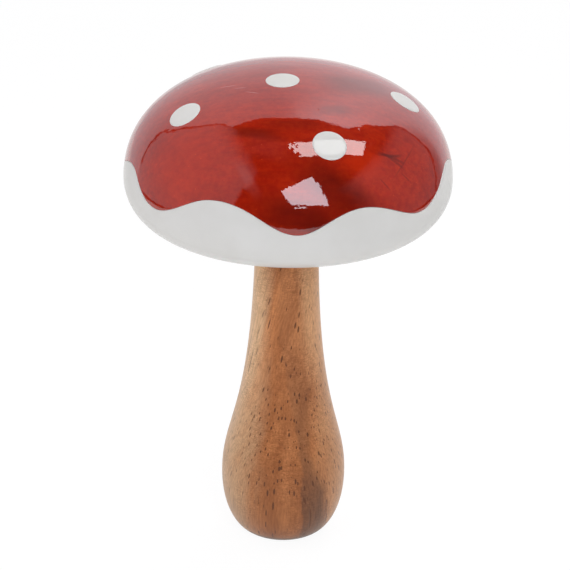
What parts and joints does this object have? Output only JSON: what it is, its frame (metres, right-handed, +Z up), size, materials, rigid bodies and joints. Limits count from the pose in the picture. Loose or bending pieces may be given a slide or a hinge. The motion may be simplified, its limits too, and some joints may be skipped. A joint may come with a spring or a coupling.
{
  "type": "mushroom ornament",
  "caption": "Turned wood mushroom ornament: a waisted stem with a bulbous foot, dowelled into a domed cap with a glossy red enamel top, white spots and a wavy white rim.",
  "frame": {"origin": "centre of the foot's flat face, on the surface that the ornament stands on", "axes": "+Z up along the stem's axis, -Y towards the viewer of the front, +X to that viewer's right"},
  "size_m": [0.11, 0.11, 0.1702],
  "materials": {
    "stem_wood": "satin oiled hardwood with fine open pores",
    "cap_wood": "raw turned hardwood under primer",
    "dowel_wood": "raw fluted hardwood",
    "red_enamel": "deep glossy mottled resin enamel",
    "white_enamel": "glossy resin enamel"
  },
  "bodies": {
    "root": {"stem": "stem_wood", "dowel": "dowel_wood", "cap_core": "cap_wood", "red_enamel": "red_enamel", "white_enamel": "white_enamel", "enamel_spot_1": "white_enamel", "enamel_spot_2": "white_enamel", "enamel_spot_3": "white_enamel", "enamel_spot_4": "white_enamel", "enamel_spot_5": "white_enamel", "enamel_spot_6": "white_enamel"}
  },
  "joints": []
}
